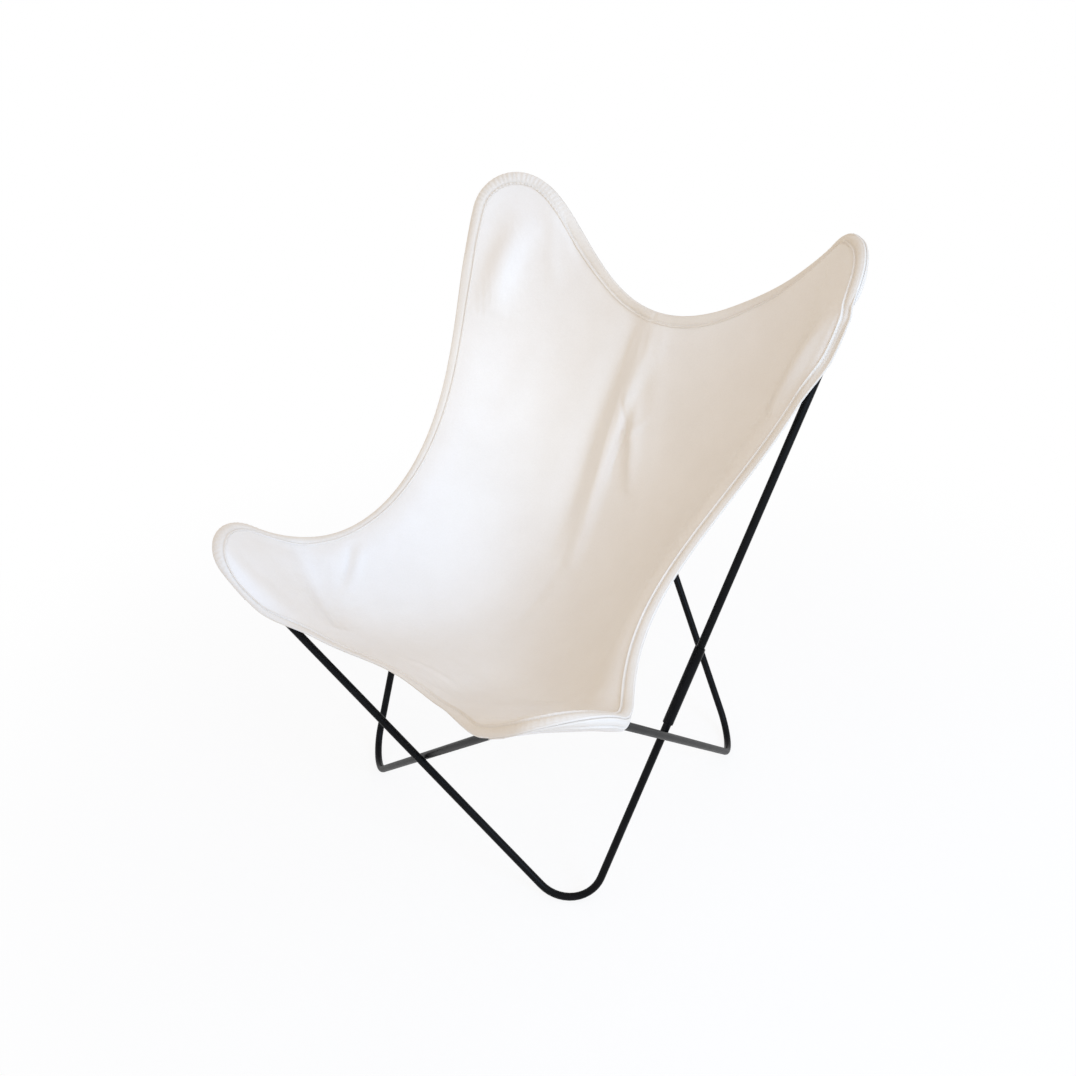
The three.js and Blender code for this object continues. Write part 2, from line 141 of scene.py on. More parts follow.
# Gathers: ripples of the tape, as shares of its height, which grow round the tips
GATHER_SEED = 7
GATHER_WAVE = 8.5
GATHER_SPREAD = (0.6, 1.4)
GATHER_FADE = (60.0, 150.0)
GATHERS = {"back_left": 0.7, "front_left": 0.25, "back_right": 0.12, "front_right": 0.1}
PLAIN_GATHER = 0.05

# Stitches
STITCH_PITCH = 4.6
STITCH_LENGTH = 3.3
STITCH_RADIUS = 0.42
STITCH_SIDES = 5
STITCH_RINGS = ((-0.5, 0.0), (-0.38, 0.8), (0.0, 1.0), (0.38, 0.8), (0.5, 0.0))  # place and thickness
STITCH_FLATNESS = 0.8
STITCH_DIP = 0.35
STITCH_LIFT = 0.12
STITCH_RUNS = (1.0, 3 * STITCH_PITCH)  # lengths between which a run gets its stitch

# Pockets
POCKET_CANVAS = 1.2
POCKET_COLUMNS = 37
POCKET_SPACING = 1.5  # power that sets the columns closer near the edge
POCKET_SINK = 0.1  # of the pocket's edge into the panel
POCKET_LEAST_OUTSIDE = 1.0
POCKET_TAPER = {"front": (-1.0, 0.0), "back": (10.0, 95.0)}  # where a pocket's bulge grows, from its ends
POCKET_BULGE = 0.5  # share of a round wall, where the edge is close to the rod
POCKET_BULGE_LOSS = 0.35  # taken off that share, where the edge is far
POCKET_BULGE_REACH = (18.0, 60.0)
POCKET_RISE = 2.2  # of the underside, away from the rod
POCKET_RISE_AT = (6.0, 40.0)
MOUTH_HEM = 0.5
MOUTH_HEM_AT = (10.5, 12.5)
MOUTH_HEM_FROM = (0.35, 0.6)

# The camera, fitted to the photograph's 1076 x 1076 frame
PHOTO_PX = 1076.0
FOCAL_PX = 1092.353
PRINCIPAL_PX = (600.163, 611.064)
CAMERA_AZIMUTH = 42.5348
CAMERA_ELEVATION = 34.5044
CAMERA_ROLL = -2.2259
CAMERA_DISTANCE = 2197.964
CAMERA_TARGET = (-174.6886, 315.0808, 68.1877)
SENSOR_WIDTH = 36.0


# Frame geometry
def unit(a):
    return a / np.linalg.norm(a)


def smooth(x, low, high):
    t = np.clip((x - low) / (high - low), 0.0, 1.0)
    return t * t * (3.0 - 2.0 * t)


def bend_at(before, corner, after, radius):
    """A corner's bend. Angles count from its outermost point, positive towards the leg before it."""
    first, second = unit(before - corner), unit(after - corner)
    half = np.arccos(first @ second) / 2
    inward = unit(first + second)
    across = unit(first - second)
    normal = np.cross(-inward, across)
    return {
        "centre": corner + inward * radius / np.sin(half),
        "out": -inward,
        "across": across,
        "normal": normal * np.sign(normal[2]),
        "radius": radius,
        "turn": np.pi / 2 - half,
    }


def on_bend(bend, angle, radius, rise=0.0):
    spoke = np.cos(angle) * bend["out"] + np.sin(angle) * bend["across"]
    return bend["centre"] + radius * spoke + rise * bend["normal"]


def run_gap(a, b, c, d):
    """Distance between two straight runs, and how far from the first one's start it lies."""
    u, v = unit(b - a), unit(d - c)
    normal = np.cross(u, v)
    gap = abs((c - a) @ normal) / np.linalg.norm(normal)
    return gap, np.cross(c - a, v) @ normal / (normal @ normal)


def foot_rise(bend):
    low = bend["centre"][2] - bend["radius"] * np.hypot(bend["out"][2], bend["across"][2])
    return ROD_DIAMETER / 2 - FOOT_FLAT - low


def loop_corners(side, shift, foot_x, front_z, back_z):
    """The corners of one rod loop: side is 1 where its front tip is on the right, and -1 on the left."""
    corners = {
        "back_tip": (-BACK_TIP[0], BACK_TIP[1], BACK_TIP[2]),
        "front_foot": (-foot_x, FRONT_FOOT_Y, front_z),
        "front_tip": FRONT_TIP,
        "back_foot": (BACK_FOOT_X, BACK_FOOT_Y, back_z),
    }
    return {name: np.array([side * x, y + side * shift, z]) for name, (x, y, z) in corners.items()}


SETTLING_ROUNDS = 60
SETTLING_SHARE = 0.8


def settle_loops():
    """The corners of the two rod loops, with the feet on the floor and the rods touching where they cross."""
    foot_x, front_z, back_z, shift = BACK_FOOT_X, 0.0, 0.0, 0.0
    touch = ROD_DIAMETER + TOUCH_GAP
    for _ in range(SETTLING_ROUNDS):
        loops = [loop_corners(side, shift, foot_x, front_z, back_z) for side in (1.0, -1.0)]
        a, b = loops
        runs = (a["front_tip"] - a["front_foot"], a["back_tip"] - a["back_foot"])
        shift = max(touch / 2 * np.hypot(1.0, run[1] / run[2]) for run in runs)
        front_z += foot_rise(bend_at(a["back_tip"], a["front_foot"], a["front_tip"], FOOT_RADIUS))
        back_z += foot_rise(bend_at(a["front_tip"], a["back_foot"], a["back_tip"], FOOT_RADIUS))
        right = run_gap(b["front_foot"], b["back_tip"], a["back_foot"], a["front_tip"])[0]
        left = run_gap(a["front_foot"], a["back_tip"], b["back_foot"], b["front_tip"])[0]
        foot_x += SETTLING_SHARE * (min(right, left) - touch)
    return loops


LOOPS = settle_loops()


def row_shift():
    """How far the row frame lies from the loops' own, in Y, from the middle of a sleeve."""
    a, b = LOOPS
    crossing = run_gap(a["front_foot"], a["back_tip"], b["back_foot"], b["front_tip"])[1]
    along = crossing + SLEEVE_ABOVE_CROSSING + SLEEVE_LENGTH / 2
    middle = a["front_foot"] + unit(a["back_tip"] - a["front_foot"]) * along
    low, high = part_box("sleeve_left_side")
    return (low[1] + high[1]) / 2 - middle[1] / 1000


ROW_SHIFT = np.array([0.0, row_shift(), 0.0])


def metres(points):
    return np.asarray(points) / 1000 + ROW_SHIFT


def tip_bends():
    names = (("back_left", "front_right"), ("back_right", "front_left"))
    tips = {}
    for loop, (back, front) in zip(LOOPS, names):
        tips[back] = bend_at(loop["back_foot"], loop["back_tip"], loop["front_foot"], TIP_RADIUS)
        tips[front] = bend_at(loop["front_foot"], loop["front_tip"], loop["back_foot"], TIP_RADIUS)
    return tips


TIPS = tip_bends()


# The panel's edges and surface
def on_curve(control, t):
    level = [np.asarray(point, float)[None] + 0 * t[:, None] for point in control]
    while len(level) > 1:
        level = [a * (1 - t[:, None]) + b * t[:, None] for a, b in zip(level, level[1:])]
    return level[0]


def edge_end(tip, side, end, wider=0.0):
    """An edge's start round a tip, where it leaves the bend, and the point that keeps its direction."""
    angle = np.radians(end[0])
    bend = TIPS[tip]
    away = -np.sin(angle) * bend["out"] + side * np.cos(angle) * bend["across"]
    radii = TIP_RADIUS + HEM + wider * smooth(np.linspace(0, 1, ARC_STEPS + 1), 0.0, 1.0)
    angles = [side * angle * i / ARC_STEPS for i in range(ARC_STEPS + 1)]
    arc = [on_bend(bend, at, radius, CLOTH_RISE) for at, radius in zip(angles, radii)]
    return arc[:-1], arc[-1], arc[-1] + away * end[1]


def panel_edge(first, pulls, last):
    t = np.linspace(0, 1, CURVE_POINTS)
    curve = on_curve([first[1], first[2], *pulls, last[2], last[1]], t)
    return np.array([*first[0], *curve, *last[0][::-1]])


def arc_lengths(points):
    return np.r_[0, np.cumsum(np.linalg.norm(np.diff(points, axis=0), axis=1))]


def interpolate(at, length, points):
    """The points of a line at some distances along it."""
    return np.stack([np.interp(at, length, points[:, k]) for k in range(3)], -1)


def resample(points, shares):
    length = arc_lengths(points)
    return interpolate(shares * length[-1], length, points)


def from_ends(count):
    """How many steps each place in a row is from the nearer end."""
    places = np.arange(count)
    return np.minimum(places, places[::-1])


def side_edge(side):
    x, y, z = SIDE_PULL_FRONT
    return panel_edge(
        edge_end(f"front_{side}", -1, SIDE_END_FRONT),
        [(x if side == "right" else -x, y, z), SIDE_PULL_BACK[side]],
        edge_end(f"back_{side}", -1, SIDE_END_BACK[side]),
    )


EDGES = {
    "front": panel_edge(
        edge_end("front_left", 1, FRONT_END), [FRONT_PULL], edge_end("front_right", 1, FRONT_END)
    ),
    "back": panel_edge(
        edge_end("back_left", 1, TOP_END["left"]),
        [TOP_PULL],
        edge_end("back_right", 1, TOP_END["right"], TOP_HEM),
    ),
    "left": side_edge("left"),
    "right": side_edge("right"),
}


def panel_grid():
    """The panel's middle surface as rows of points, front to back, and each point's place across and down.

    The cells are smaller near the side edges and the middle, and near the front and the top.
    """
    t = np.linspace(0, 1, CELLS_ACROSS + 1)
    u = t - np.sin(4 * np.pi * t) / (8 * np.pi)
    t = np.linspace(0, 1, CELLS_ALONG + 1)
    v = (t + 0.5 - 0.5 * np.cos(np.pi * t)) / 2
    front, back = resample(EDGES["front"], u), resample(EDGES["back"], u)
    left, right = resample(EDGES["left"], v), resample(EDGES["right"], v)
    uu, vv = u[None, :, None], v[:, None, None]
    grid = front[None] * (1 - vv) + back[None] * vv + left[:, None] * (1 - uu) + right[:, None] * uu
    grid -= (front[0] * (1 - uu) + front[-1] * uu) * (1 - vv) + (back[0] * (1 - uu) + back[-1] * uu) * vv
    mid = CELLS_ACROSS // 2
    t = np.linspace(0, 1, CURVE_POINTS)
    line = on_curve([front[mid], SEAT_PULL_FRONT, SEAT_PULL_BACK, back[mid]], t)
    weight = (4 * u * (1 - u)) ** SEAT_PULL_POWER
    grid += (resample(line, v) - grid[:, mid])[:, None] * weight[None, :, None]
    steps = np.linalg.norm(np.diff(grid, axis=1), axis=2)
    across = np.concatenate([np.zeros((len(v), 1)), np.cumsum(steps, axis=1)], axis=1)
    across -= across[:, mid : mid + 1]
    drop = np.repeat(((1 - v) * arc_lengths(line)[-1])[:, None], len(u), axis=1)
    return grid, across, drop


def grid_normals(grid):
    normal = np.cross(np.gradient(grid, axis=1), np.gradient(grid, axis=0))
    normal /= np.maximum(np.linalg.norm(normal, axis=2, keepdims=True), 1e-9)
    for bend in TIPS.values():
        apex = on_bend(bend, 0.0, TIP_RADIUS + HEM, CLOTH_RISE)
        near = 1 - smooth(np.linalg.norm(grid - apex, axis=2), *TIP_NORMAL_FADE)[..., None]
        normal = normal * (1 - near) + bend["normal"] * near
    return normal / np.linalg.norm(normal, axis=2, keepdims=True)


def from_rod(bend, points):
    """How far points lie outside a tip's rod, measured in the tip's plane, and how far towards the seat."""
    local = points - bend["centre"]
    x, y = local @ bend["across"], local @ bend["out"]
    turn = bend["turn"]
    leg = np.cos(turn) * y + np.sin(turn) * np.abs(x)
    outside = np.where(np.arctan2(np.abs(x), y) < turn, np.hypot(x, y), leg)
    return outside - TIP_RADIUS, -y


def back_fold(across, drop):
    """How far the fold lifts the cloth, by the place across and down."""
    swell = np.sin(np.pi * np.clip(drop / FOLD_LENGTH, 0.0, 1.0))
    line = -FOLD_OFF_MIDDLE * (1 + swell) / 2

    def bell(at, widths):
        return np.exp(-(((across - at) / np.where(across < at, *widths)) ** 2))

    left, right = FOLD_CREST_WIDTHS
    right = right + FOLD_TOP_SPREAD[0] * (1 - smooth(drop, 0.0, FOLD_TOP_SPREAD[1]))
    crest = FOLD_CREST * bell(line + FOLD_CREST_OFF, (left, right))
    hollow = FOLD_HOLLOW * bell(line + FOLD_HOLLOW_OFF, FOLD_HOLLOW_WIDTHS)
    return np.sqrt(np.maximum(swell, 0.0)) * (crest + hollow)


CREASE_REACH = 3  # in half widths, from its line
CREASE_FADE_POWER = 0.8


def crease(points, line, height, width):
    """A soft ridge, or a valley where the height is negative, along a line of points, fading at its ends."""
    curve = on_curve(line, np.linspace(0, 1, CREASE_CURVE_POINTS))
    line = resample(curve, np.linspace(0, 1, CREASE_POINTS))
    flat = points.reshape(-1, 3)
    tree = KDTree(len(line))
    for i, point in enumerate(line):
        tree.insert(point, i)
    tree.balance()
    reach = CREASE_REACH * width
    low, high = line.min(0) - reach, line.max(0) + reach
    lift = np.zeros(len(flat))
    for k in np.nonzero(((flat > low) & (flat < high)).all(1))[0]:
        _, i, distance = tree.find(flat[k])
        fade = np.sin(np.pi * i / (CREASE_POINTS - 1)) ** CREASE_FADE_POWER
        lift[k] = height * fade * np.exp(-((distance / width) ** 2))
    return lift.reshape(points.shape[:-1])


# Smaller creases: (points on the cloth, height, half width)
CREASES = [
    # down the back, beside the fold and past its end
    ([(-29, 232, 614), (-25, 205, 566), (-17, 167, 504), (-8, 107, 423)], 2.0, 6.0),
    ([(-20, 228, 606), (-18, 217, 586), (29, 203, 560), (-22, 184, 528), (9, 153, 482)], -4.0, 4.6),
    ([(-3, 233, 611), (23, 211, 573), (26, 198, 554), (38, 177, 521), (54, 147, 477)], 12.0, 15.0),
    ([(13, 189, 540), (28, 204, 561), (46, 219, 589)], 3.0, 7.0),
    ([(-34, 108, 430), (-6, 59, 382), (-14, -3, 342), (-11, -67, 319)], -2.2, 9.0),
    ([(-14, 101, 428), (14, 53, 380), (8, -7, 342), (6, -60, 320)], 1.8, 10.0),
    ([(21, 262, 686), (45, 217, 594), (57, 165, 508), (95, 108, 458)], 5.0, 24.0),
    # under the top edge's middle
    ([(-32, 274, 701), (-36, 261, 673), (-40, 244, 640)], 1.4, 7.0),
    ([(-8, 276, 703), (-4, 261, 676), (-6, 249, 652)], -1.4, 7.0),
    ([(24, 281, 711), (29, 266, 684), (29, 252, 659)], 1.0, 8.0),
    # the back left wing
    ([(-284, 294, 834), (-292, 258, 790), (-297, 226, 745), (-286, 190, 688)], 15.0, 26.0),
    ([(-256, 326, 840), (-228, 290, 784), (-200, 263, 724)], 2.0, 12.0),
    ([(-200, 232, 670), (-207, 174, 600), (-198, 113, 534)], 2.0, 24.0),
    # the back right wing
    ([(330, 236, 822), (322, 208, 772), (306, 180, 715), (292, 160, 680)], 11.0, 18.0),
    ([(326, 290, 800), (292, 256, 742), (250, 214, 680)], 1.6, 18.0),
    # the front left wing
    ([(-344, -229, 427), (-278, -230, 407), (-246, -253, 360), (-155, -287, 367)], -11.0, 20.0),
    ([(-300, -200, 420), (-258, -218, 388), (-200, -226, 362)], 3.0, 14.0),
    ([(-279, -159, 418), (-268, -174, 406), (-252, -200, 383), (-234, -227, 370)], -5.0, 8.0),
    ([(-262, -150, 412), (-248, -178, 395), (-228, -216, 368)], 4.5, 9.0),
    # the front right wing and the front edge
    ([(70, -290, 364), (70, -230, 338), (80, -170, 322)], -6.0, 45.0),
    ([(195, -330, 400), (190, -270, 365), (190, -200, 350)], 10.0, 45.0),
    ([(296, -190, 418), (252, -206, 386), (196, -214, 360)], 2.0, 14.0),
    ([(-64, -262, 348), (-4, -247, 342), (80, -244, 342)], 1.6, 8.0),
    ([(-81, -182, 321), (16, -187, 321), (124, -189, 328)], -1.4, 12.0),
]


def flat_panel():
    """The panel with its fold and its creases, before its tips bend over the rods."""
    grid, across, drop = panel_grid()
    lift = back_fold(across, drop)
    for line, height, width in CREASES:
        lift += crease(grid, line, height, width)
    edge = np.minimum(from_ends(CELLS_ALONG + 1)[:, None], from_ends(CELLS_ACROSS + 1)[None, :])
    return grid + grid_normals(grid) * (lift * smooth(edge, 0, EDGE_CELLS))[..., None], across, drop


def front_reach(tip):
    """How far outside a front tip's rod the front edge lies, by its place towards the seat."""
    edge = EDGES["front"] if tip == "front_left" else EDGES["front"][::-1]
    outside, down = from_rod(TIPS[tip], edge[: len(edge) // 2])
    return down, np.maximum(outside, LEAST_REACH)


def hang(tip, angle):
    """How far the edge hangs down past a tip's rod, by the angle round the bend."""
    kind = tip.split("_")[0]
    first, last = HANG[kind]
    return first + (last - first) * smooth(angle, *np.radians(HANG_ANGLES[kind]))


def over_tips(points):
    """Points of the flat panel, moved to where it sinks inside each tip's bend and rolls over its rod."""
    moved = points.copy()
    for tip, bend in TIPS.items():
        local = points - bend["centre"]
        angle = np.arctan2(local @ bend["across"], local @ bend["out"])
        spoke = np.clip(angle, -bend["turn"], bend["turn"])[..., None]
        outward = np.cos(spoke) * bend["out"] + np.sin(spoke) * bend["across"]
        outside, down = from_rod(bend, points)
        near = 1 - smooth(np.linalg.norm(local, axis=-1), *TIP_NEAR_FADE)
        reach = np.full(outside.shape, HEM)
        if tip.startswith("front"):
            reach = np.where(angle > 0, np.interp(down, *front_reach(tip)), HEM)
        turned = np.clip(outside / reach, 0.0, 1.0) * np.pi / 2
        hung = hang(tip, angle) * (1 - smooth(down, *HANG_FADE))
        droop = LEG_HANG.get(tip, 0.0) * smooth(down, *LEG_HANG_FROM)
        droop = droop * (1 - smooth(down, *LEG_HANG_TO))
        hung = np.maximum(hung, np.where(angle < 0, droop, 0.0)) * near
        sunk = TIP_SINK * smooth(-outside, *TIP_SINK_EDGE) * (1 - smooth(down, *TIP_SINK_FADE)) * near
        pushed = (reach * np.sin(turned) - np.clip(outside, 0.0, reach)) * hung / FULL_HANG
        moved -= bend["normal"] * (hung * (1 - np.cos(turned)) + sunk)[..., None]
        moved += outward * pushed[..., None]
    return moved


FLAT, ACROSS, DROP = flat_panel()
SURFACE = over_tips(FLAT)


# Meshes
WELD_DISTANCE = 1e-5  # in metres


def new_piece(name, points, faces, uvs=None):
    """A smooth-shaded mesh from points in millimetres."""
    mesh = bpy.data.meshes.new(name)
    mesh.from_pydata(metres(points).tolist(), [], [list(map(int, face)) for face in faces])
    mesh.polygons.foreach_set("use_smooth", np.ones(len(mesh.polygons), bool))
    if uvs is not None:
        layer = mesh.uv_layers.new(name="cloth")
        index = np.empty(len(mesh.loops), np.int32)
        mesh.loops.foreach_get("vertex_index", index)
        layer.data.foreach_set("uv", np.asarray(uvs, np.float32)[index].ravel())
    work = bmesh.new()
    work.from_mesh(mesh)
    bmesh.ops.remove_doubles(work, verts=work.verts, dist=WELD_DISTANCE)
    bmesh.ops.recalc_face_normals(work, faces=work.faces)
    work.to_mesh(mesh)
    work.free()
    piece = bpy.data.objects.new(name, mesh)
    bpy.context.scene.collection.objects.link(piece)
    return piece


def grid_mesh(grid, closed=False):
    """A grid's points, and quads between neighbours. A closed grid's last row meets its first."""
    rows, columns = grid.shape[:2]
    faces = []
    for j in range(rows if closed else rows - 1):
        k = (j + 1) % rows
        for i in range(columns - 1):
            faces.append((j * columns + i, j * columns + i + 1, k * columns + i + 1, k * columns + i))
    return grid.reshape(-1, 3), faces


def thicken(piece, thickness):
    solid = piece.modifiers.new("thickness", "SOLIDIFY")
    solid.thickness = thickness / 1000
    solid.offset = 0
    solid.use_even_offset = False


def make_panel():
    uvs = np.stack([ACROSS, DROP], -1).reshape(-1, 2) / 1000
    piece = new_piece("sling_canvas", *grid_mesh(SURFACE), uvs)
    thicken(piece, CANVAS)
    return piece


# The panel's rim, as one closed row of points that runs round it with the cloth on its left
def rim_rows(values):
    return np.concatenate([values[0, :-1], values[:-1, -1], values[-1, :0:-1], values[:0:-1, 0]])


def around(values, offset):
    return np.roll(values, -offset, axis=0)


def units(vectors):
    return vectors / np.maximum(np.linalg.norm(vectors, axis=-1, keepdims=True), 1e-9)


def rim_stations():
    """Evenly spaced places on the rim, on the flat panel and on the bent one, and the flat one's normals."""
    bent = rim_rows(SURFACE)
    length = arc_lengths(np.vstack([bent, bent[:1]]))
    count = 2 * int(round(length[-1] / STITCH_PITCH))
    at = np.arange(count) * length[-1] / count

    def pick(values):
        return interpolate(at, length, np.vstack([values, values[:1]]))

    return pick(rim_rows(FLAT)), pick(bent), units(pick(rim_rows(grid_normals(FLAT)))), at, length[-1]


def inward_lines():
    """Lines from the rim into the panel, over its rolled edge, one from each station."""
    points, faces = grid_mesh(FLAT)
    tree = BVHTree.FromPolygons(points.tolist(), faces)
    inward = np.cross(FLAT_NORMAL, units(around(FLAT_RIM, 2) - around(FLAT_RIM, -2)))
    steps = np.arange(0.0, INWARD_REACH)
    straight = FLAT_RIM[:, None] + inward[:, None] * steps[None, :, None]
    found = [tree.find_nearest(Vector(point))[0] for point in straight.reshape(-1, 3)]
    return over_tips(np.array(found).reshape(straight.shape))


FLAT_RIM, RIM, FLAT_NORMAL, RIM_AT, RIM_LENGTH = rim_stations()
INWARD = inward_lines()
INWARD_LENGTH = np.array([arc_lengths(line) for line in INWARD])


def rim_near(tip):
    """The number of the rim station at a tip's top."""
    apex = on_bend(TIPS[tip], 0.0, TIP_RADIUS + HEM, CLOTH_RISE)
    return int(np.linalg.norm(RIM - apex, axis=1).argmin())


def rim_distance(station):
    """How far round the rim each station lies from one of them."""
    gap = np.abs(RIM_AT - RIM_AT[station])
    return np.minimum(gap, RIM_LENGTH - gap)


def band_widths():
    """The binding's width at each station, as a share of its plain width."""
    shares = np.ones(len(RIM))
    for tip, (before, past) in TIP_BAND.items():
        ahead = (RIM_AT - RIM_AT[rim_near(tip)] + RIM_LENGTH / 2) % RIM_LENGTH - RIM_LENGTH / 2
        wider = before + (past - before) * smooth(ahead, *TIP_BAND_TURN)
        shares += wider * (1 - smooth(np.abs(ahead), *TIP_BAND_FADE))
    return shares


BAND_SHARES = band_widths()


def band_row(distance):
    """The points at a distance from the rim, over the panel's face."""
    lines = zip(INWARD, INWARD_LENGTH, BAND_SHARES)
    return np.array([interpolate(distance * share, length, line) for line, length, share in lines])


def band_place(distance):
    """The points at a distance from the rim, the face's normals there, and the way into the panel."""
    points = band_row(distance)
    inward = units(band_row(distance + INWARD_STEP) - band_row(max(distance - INWARD_STEP, 0.0)))
    run = around(points, RUN_STATIONS) - around(points, -RUN_STATIONS)
    normal = units(np.cross(run, inward))
    near = range(-NORMAL_STATIONS, NORMAL_STATIONS + 1)
    return points, units(sum(around(normal, k) for k in near)), inward


RIM_IN = band_place(0.0)[2]

# Edge binding
SEAMS = {tip: FRONT_POCKET_SEAM if tip.startswith("front") else BACK_POCKET_SEAM for tip in TIPS}
SEAM_END = (-6.0, 8.0)  # where the tape comes out under the panel, from a seam's end
SHOWN_LEAST = 0.02
RIPPLE_FROM = 0.2  # height of the section above which it ripples

# Distance from the edge, and height over the cloth's face, of the binding's section
BAND_SECTION = [
    (BAND_WIDTH, BAND_BURIED),
    (17.3, 1.0),
    (16.6, 1.8),
    (15.6, 1.8),
    (14.9, 1.0),
    (14.2, 0.1),
    (GROOVE, 0.05),
    (12.6, 0.1),
    (11.8, 0.6),
    (10.8, 1.0),
    (8.0, 1.15),
    (5.0, 1.15),
    (3.4, 1.0),
    (2.6, 0.75),
    (1.8, 0.95),
    (0.7, 0.55),
]


def tape_ripple():
    """Ripples along the tape, as shares of its height, with a dip where its ends join."""
    rng = np.random.default_rng(GATHER_SEED)
    phase = np.cumsum(rng.uniform(*GATHER_SPREAD, len(RIM))) * np.pi * STITCH_PITCH / GATHER_WAVE
    gather = np.zeros(len(RIM))
    for tip, most in GATHERS.items():
        away = rim_distance(rim_near(tip))
        gather = np.maximum(gather, most * (1 - smooth(away, *GATHER_FADE)))
    ripple = (PLAIN_GATHER + gather) * np.sin(phase)
    join = int(np.linalg.norm(RIM - np.array(TAPE_JOIN), axis=1).argmin())
    return ripple - TAPE_JOIN_DIP * np.exp(-((rim_distance(join) / TAPE_JOIN_WIDTH) ** 2))


def shown_below():
    """1 where the tape shows under the panel too, and 0 where a pocket is sewn on."""
    shown = np.ones(len(RIM))
    for tip, seam in SEAMS.items():
        away = rim_distance(rim_near(tip))
        shown = np.minimum(shown, smooth(away, seam + SEAM_END[0], seam + SEAM_END[1]))
    return shown


def make_binding():
    """The tape folded over the panel's edge, and the lines that its stitches follow, above and below."""
    half = CANVAS / 2
    ripple, under = tape_ripple(), shown_below()
    top, bottom = [], []
    for distance, height in BAND_SECTION:
        points, normals, _ = band_place(distance)
        swell = 1 + ripple if height > RIPPLE_FROM else 1 + 0 * ripple
        lifted = (half + height * BAND_LIFT * swell)[:, None]
        top.append(points + normals * lifted)
        below = (half + np.where(under > SHOWN_LEAST, height * BAND_LIFT * under, BAND_BURIED))[:, None]
        bottom.append(points - normals * below)
        if distance == GROOVE:
            upper = points + normals * (lifted + STITCH_LIFT)
            lower = points - normals * (below + STITCH_LIFT)
            stitch_line = [values[::2] for values in (upper, normals, lower, under)]
    outer = RIM - RIM_IN * BAND_PAST_EDGE
    section = np.stack([*top, outer, *bottom[::-1], top[0]], 1)
    return new_piece("edge_binding", *grid_mesh(section, closed=True)), stitch_line


# Stitches: small capsules along a line
def capsules(points, normals, keep=None):
    """Stitches between neighbouring points of a row, as points and faces."""
    made, faces = [], []
    for i in range(len(points) - 1):
        if keep is not None and not keep[i]:
            continue
        run = points[i + 1] - points[i]
        if not STITCH_RUNS[0] < np.linalg.norm(run) < STITCH_RUNS[1]:
            continue
        along = unit(run)
        up = unit(normals[i] - along * (normals[i] @ along))
        side = np.cross(along, up)
        middle = (points[i] + points[i + 1]) / 2
        start = len(made)
        for share, fat in STITCH_RINGS:
            dip = up * (-STITCH_DIP * (2 * share) ** 2)
            for k in range(STITCH_SIDES):
                angle = 2 * np.pi * k / STITCH_SIDES
                out = np.cos(angle) * side + STITCH_FLATNESS * np.sin(angle) * up
                made.append(middle + along * share * STITCH_LENGTH + dip + out * STITCH_RADIUS * fat)
        for ring in range(len(STITCH_RINGS) - 1):
            for k in range(STITCH_SIDES):
                a = start + ring * STITCH_SIDES + k
                b = start + ring * STITCH_SIDES + (k + 1) % STITCH_SIDES
                faces.append((a, b, b + STITCH_SIDES, a + STITCH_SIDES))
    return np.array(made).reshape(-1, 3), faces


def join_parts(parts):
    points, faces = [], []
    count = 0
    for part_points, part_faces in parts:
        points.append(part_points)
        faces += [tuple(count + k for k in face) for face in part_faces]
        count += len(part_points)
    return np.vstack(points), faces


# Pockets
def make_pocket(tip):
    """A pocket sewn under a tip, round the rod from the seam, then flat to its mouth, with its points."""
    bend = TIPS[tip]
    spacing = RIM_LENGTH / len(RIM)
    middle = rim_near(tip)
    reach = int(SEAMS[tip] / spacing)
    picks = np.arange(middle - reach, middle + reach + 1) % len(RIM)
    local = RIM[picks] - bend["centre"]
    rim = np.stack([local @ bend["across"], local @ bend["out"]], 1)
    rise = local @ bend["normal"] - CANVAS / 2 - POCKET_CANVAS / 2 + POCKET_SINK
    mouth = rim[0] + (rim[-1] - rim[0]) * np.linspace(0, 1, len(rim))[:, None]
    steps = np.linspace(0, 1, POCKET_COLUMNS) ** POCKET_SPACING
    flat = rim[:, None] + (mouth - rim)[:, None] * steps[None, :, None]
    spread = flat[..., :1] * bend["across"] + flat[..., 1:] * bend["out"]
    outside, _ = from_rod(bend, bend["centre"] + spread)
    first = np.maximum(outside[:, :1], POCKET_LEAST_OUTSIDE)
    share = np.clip(outside / first, 0.0, 1.0)
    to_end = from_ends(len(rim)) * spacing
    bulge = POCKET_BULGE - POCKET_BULGE_LOSS * smooth(first, *POCKET_BULGE_REACH)
    bulge = bulge * smooth(to_end, *POCKET_TAPER[tip.split("_")[0]])[:, None]
    wall = bulge * np.sqrt(1 - share**2) + (1 - bulge) * (1 - share)
    under = -CLOTH_RISE + POCKET_RISE * smooth(-outside, *POCKET_RISE_AT)
    height = rise[:, None] * (1 - wall) + under * wall
    to_mouth = np.linalg.norm(mouth[:, None] - flat, axis=2)
    hem = MOUTH_HEM * (1 - smooth(to_mouth, *MOUTH_HEM_AT)) * smooth(steps, *MOUTH_HEM_FROM)[None]
    points = bend["centre"] + spread + (height - hem)[..., None] * bend["normal"]
    piece = new_piece(f"pocket_cloth_{tip}", *grid_mesh(points), flat.reshape(-1, 2) / 1000)
    thicken(piece, POCKET_CANVAS)
    return piece, points, picks


def pocket_outward(points, bend):
    """The normals of a pocket's points, towards its outside."""
    normal = np.cross(np.gradient(points, axis=0), np.gradient(points, axis=1))
    length = np.linalg.norm(normal, axis=2, keepdims=True)
    normal = np.where(length > 1e-6, normal / np.maximum(length, 1e-9), -bend["normal"])
    flip = np.sign((normal * -bend["normal"]).sum(2, keepdims=True).mean())
    return normal * flip


